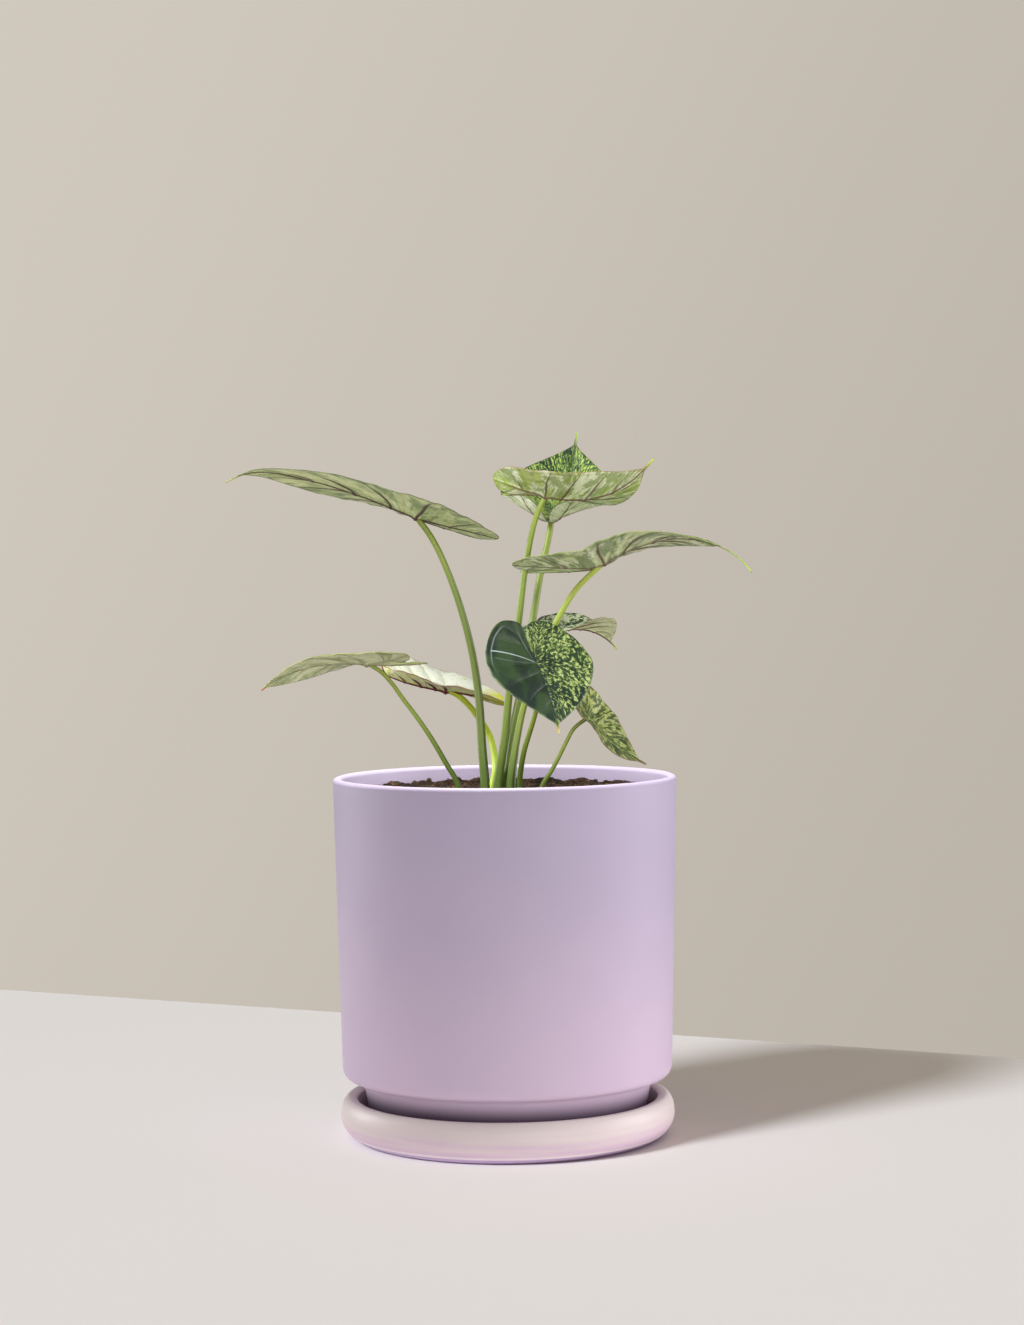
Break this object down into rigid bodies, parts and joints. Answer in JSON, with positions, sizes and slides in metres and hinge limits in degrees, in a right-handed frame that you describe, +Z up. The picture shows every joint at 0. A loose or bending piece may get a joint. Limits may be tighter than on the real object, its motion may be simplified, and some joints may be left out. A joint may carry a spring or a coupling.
{
  "type": "potted plant",
  "caption": "Young potted alocasia: long-stemmed, arrow-shaped mottled green leaves with drip tips, in soil in a plain lilac cylinder pot on its saucer.",
  "frame": {"origin": "on the pot's axis, on the flat underside of the saucer, which is the surface that the plant stands on", "axes": "+Z up along the pot's axis and the longest extent, +X to the right and -Y to the front of the plant as pictured"},
  "size_m": [0.3061, 0.204, 0.4232],
  "materials": {
    "saucer_ceramic": "satin",
    "pot_ceramic": "matte",
    "soil": "matte",
    "stem": "satin",
    "leaf_green": "satin",
    "leaf_lime": "satin",
    "leaf_dark": "satin",
    "leaf_cream": "satin"
  },
  "bodies": {
    "root": {"saucer": "saucer_ceramic", "pot": "pot_ceramic", "soil": "soil", "stem_upper_left": "stem", "blade_upper_left": "leaf_green", "stem_top_front": "stem", "blade_top_front": "leaf_lime", "stem_top_back": "stem", "blade_top_back": "leaf_green", "stem_middle_right": "stem", "blade_middle_right": "leaf_green", "stem_small_back": "stem", "blade_small_back": "leaf_green", "stem_heart": "stem", "blade_heart": "leaf_dark", "stem_lower_right": "stem", "blade_lower_right": "leaf_lime", "stem_lower_left": "stem", "blade_lower_left": "leaf_green", "stem_pale_folded": "stem", "blade_pale_folded": "leaf_cream"}
  },
  "joints": []
}
